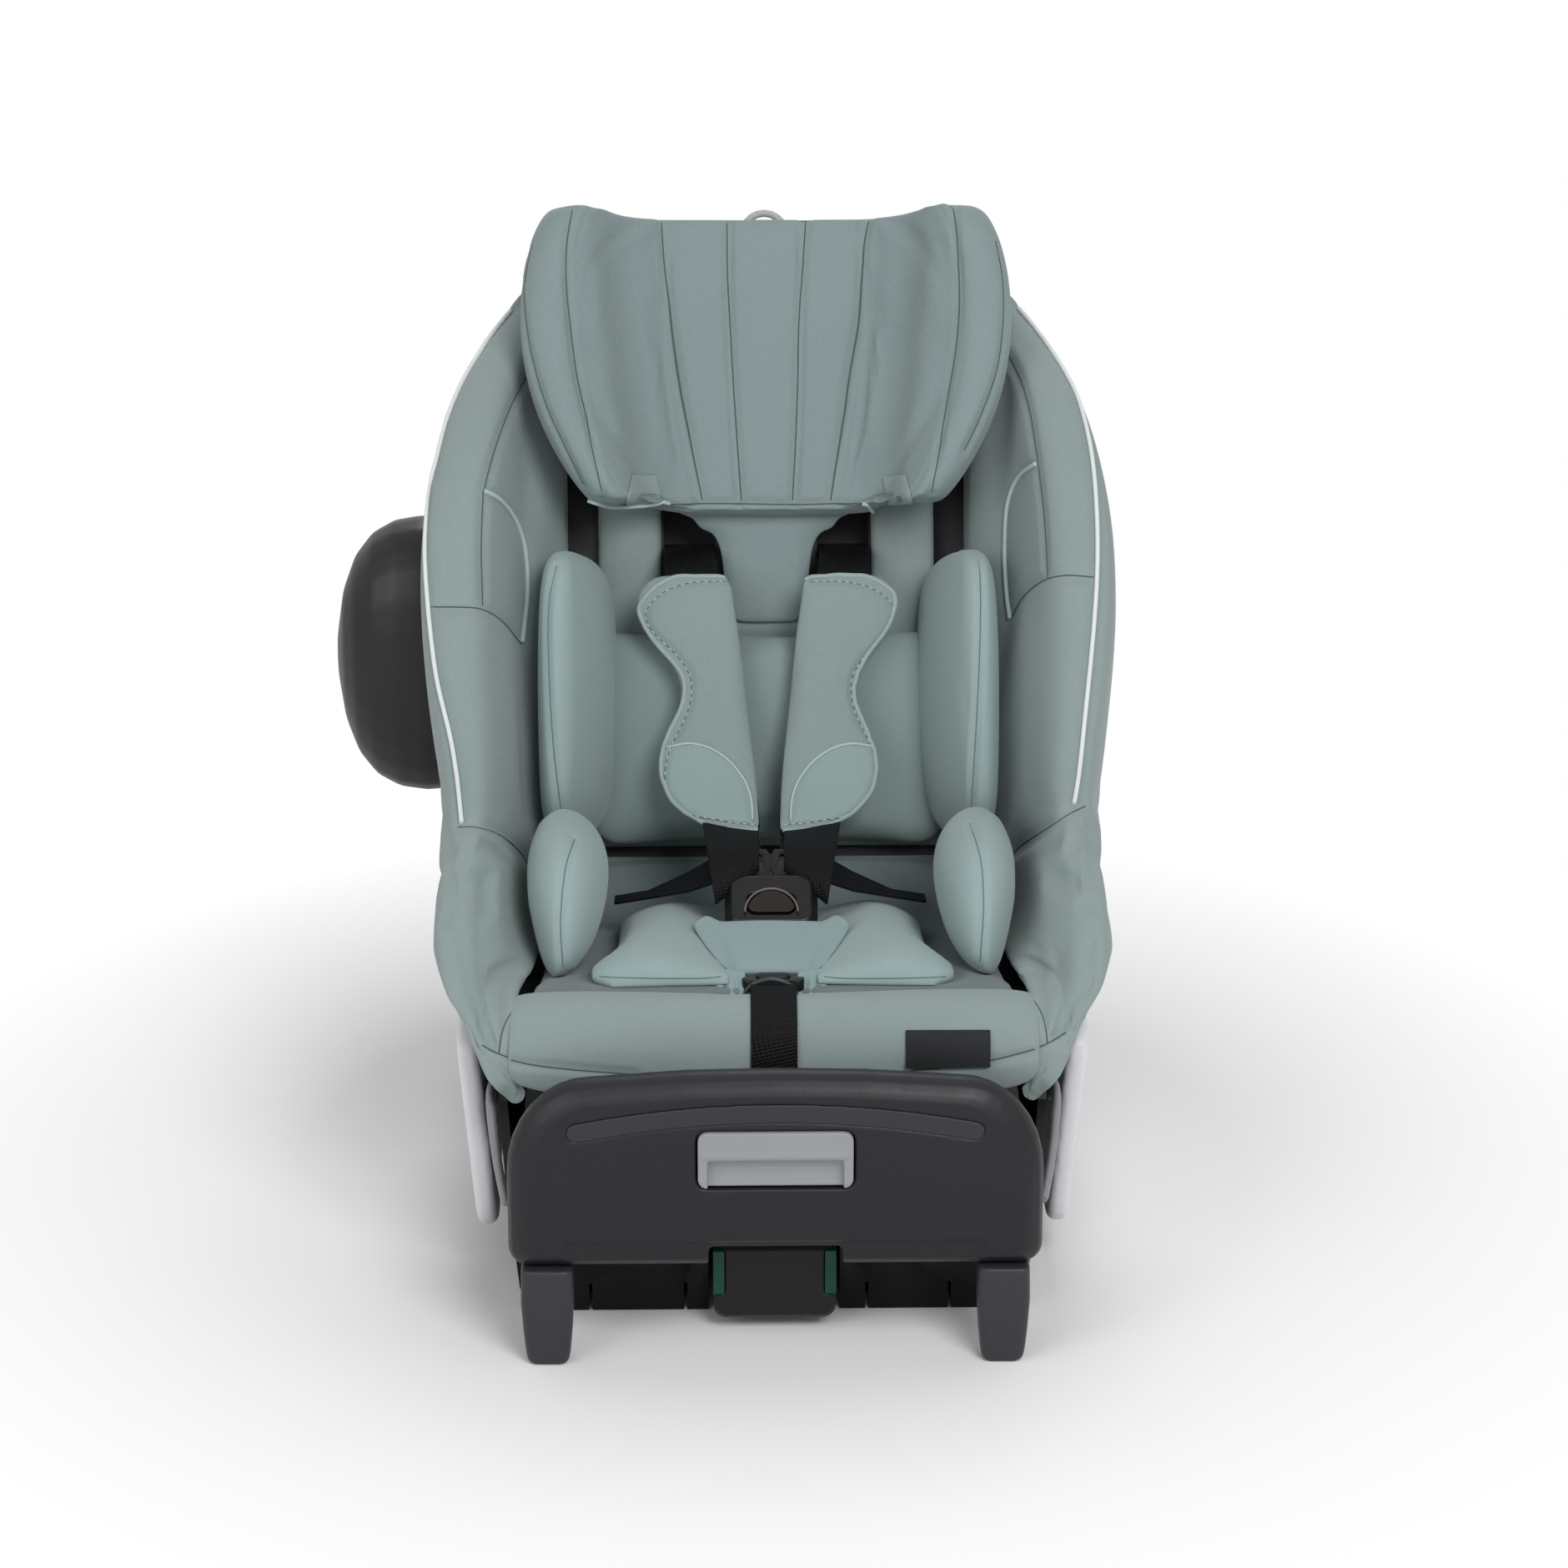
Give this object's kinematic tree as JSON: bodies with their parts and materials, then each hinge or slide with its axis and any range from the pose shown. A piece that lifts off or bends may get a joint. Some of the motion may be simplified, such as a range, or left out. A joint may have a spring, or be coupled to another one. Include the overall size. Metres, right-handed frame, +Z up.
{
  "type": "child car seat",
  "caption": "Rear-facing child car seat: padded bucket that reclines on a base, raised headrest, five-point harness, pull-out front bar and folding support leg.",
  "frame": {"origin": "middle of the flat sole of the base's rear cross-member", "axes": "+Z up from the sole, +Y from the front bar towards the back of the seat, +X to the right as seen from the front bar"},
  "size_m": [0.504, 0.586, 0.6071],
  "materials": {
    "cover_fabric": "woven, matt",
    "insert_fabric": "knitted, matt",
    "pad_fabric": "woven, matt",
    "webbing": "woven webbing",
    "shell_plastic": "moulded, matt",
    "base_plastic": "moulded, matt",
    "bar_plastic": "moulded, satin",
    "trim_plastic": "moulded, satin",
    "silver_plastic": "silver grey, satin",
    "plate_plastic": "light grey, satin",
    "arm_plastic": "mid grey, satin",
    "green_plastic": "green, satin",
    "steel": "bare steel",
    "blade_metal": "black, satin",
    "leg_metal": "anodised",
    "pod_plastic": "black, satin",
    "loop_plastic": "light grey",
    "button_plastic": "very dark red",
    "tag_fabric": "blank, matt"
  },
  "bodies": {
    "base": {"base_shell": "base_plastic", "cradle_rail_left": "trim_plastic", "cradle_rail_right": "trim_plastic", "side_plate_left": "plate_plastic", "side_plate_right": "plate_plastic", "guide_arm_left": "arm_plastic", "guide_arm_right": "arm_plastic", "leg_hinge_pin": "steel"},
    "support_leg": {"leg_outer_tube": "steel"},
    "leg_slider": {"leg_inner_tube": "leg_metal", "leg_foot": "bar_plastic", "foot_indicator": "green_plastic"},
    "leg_lock_button": {"leg_lock_button": "button_plastic"},
    "front_bar": {"bar_panel": "bar_plastic", "bar_inlay": "trim_plastic", "bar_leg_left": "bar_plastic", "bar_leg_right": "bar_plastic", "bar_tube_left": "steel", "bar_tube_right": "steel"},
    "bar_handle": {"release_handle": "silver_plastic"},
    "seat": {"seat_shell": "shell_plastic", "runner_left": "shell_plastic", "runner_right": "shell_plastic", "cover_wing_left": "cover_fabric", "cover_wing_right": "cover_fabric", "cover_back": "cover_fabric", "cover_seat": "cover_fabric", "cover_front": "cover_fabric", "pod_mount": "trim_plastic", "buckle_housing": "webbing", "tongue_left": "blade_metal", "tongue_right": "blade_metal", "shoulder_strap_left": "webbing", "shoulder_strap_right": "webbing", "hip_strap_left": "webbing", "hip_strap_right": "webbing", "crotch_strap": "webbing", "crotch_pad": "insert_fabric", "adjuster_housing": "trim_plastic", "adjuster_strap": "webbing", "front_tag": "tag_fabric", "harness_yoke": "steel", "yoke_strap": "webbing", "rear_cover": "shell_plastic", "insert_back": "insert_fabric", "insert_pillow_left": "insert_fabric", "insert_pillow_right": "insert_fabric", "insert_hip_left": "insert_fabric", "insert_hip_right": "insert_fabric", "insert_seat": "insert_fabric"},
    "side_pod": {"side_pod": "pod_plastic"},
    "recline_lever": {"recline_lever": "trim_plastic"},
    "headrest": {"headrest_pad": "cover_fabric", "headrest_shell": "shell_plastic", "headrest_tongue": "cover_fabric", "shoulder_pad_left": "pad_fabric", "shoulder_pad_right": "pad_fabric"},
    "headrest_loop": {"headrest_loop": "loop_plastic"},
    "buckle_button": {"buckle_button": "button_plastic"},
    "adjuster_button": {"adjuster_button": "webbing"}
  },
  "joints": [
    {"name": "bar_extend", "type": "slide", "parent": "base", "child": "front_bar", "axis": [0, -1, 0], "range_m": [0, 0.1]},
    {"name": "handle_pull", "type": "slide", "parent": "front_bar", "child": "bar_handle", "axis": [0, -1, 0], "range_m": [0, 0.006], "stiffness_N_per_m": 900, "springref_m": -0.004},
    {"name": "leg_fold", "type": "hinge", "parent": "base", "child": "support_leg", "pos_m": [0, -0.038, 0.032], "axis": [1, 0, 0], "range_deg": [0, 90]},
    {"name": "leg_extend", "type": "slide", "parent": "support_leg", "child": "leg_slider", "axis": [0, -1, 0], "range_m": [0, 0.1]},
    {"name": "leg_button_press", "type": "slide", "parent": "support_leg", "child": "leg_lock_button", "axis": [0, 0, 1], "range_m": [0, 0.003], "stiffness_N_per_m": 800, "springref_m": -0.002},
    {"name": "recline", "type": "hinge", "parent": "base", "child": "seat", "pos_m": [0, -0.28, 0.43], "axis": [-1, 0, 0], "range_deg": [0, 12]},
    {"name": "headrest_height", "type": "slide", "parent": "seat", "child": "headrest", "axis": [0, 0.4226, 0.9063], "range_m": [0, 0.13], "deforming": ["shoulder_strap_left", "shoulder_strap_right"]},
    {"name": "loop_pull", "type": "slide", "parent": "headrest", "child": "headrest_loop", "axis": [0, 0.4226, 0.9063], "range_m": [0, 0.01], "stiffness_N_per_m": 600, "springref_m": -0.004},
    {"name": "buckle_press", "type": "slide", "parent": "seat", "child": "buckle_button", "axis": [0, 0.4695, -0.8829], "range_m": [0, 0.0025], "stiffness_N_per_m": 900, "springref_m": -0.002},
    {"name": "adjuster_press", "type": "slide", "parent": "seat", "child": "adjuster_button", "axis": [0, -0.1908, -0.9816], "range_m": [0, 0.0025], "stiffness_N_per_m": 900, "springref_m": -0.002},
    {"name": "recline_lever_lift", "type": "hinge", "parent": "seat", "child": "recline_lever", "pos_m": [0, -0.378, 0.15], "axis": [-1, 0, 0], "range_deg": [0, 15], "stiffness_Nm_per_rad": 1.2, "springref_deg": -8.59},
    {"name": "pod_slide", "type": "slide", "parent": "seat", "child": "side_pod", "axis": [-1, 0, 0], "range_m": [0, 0.02]}
  ]
}
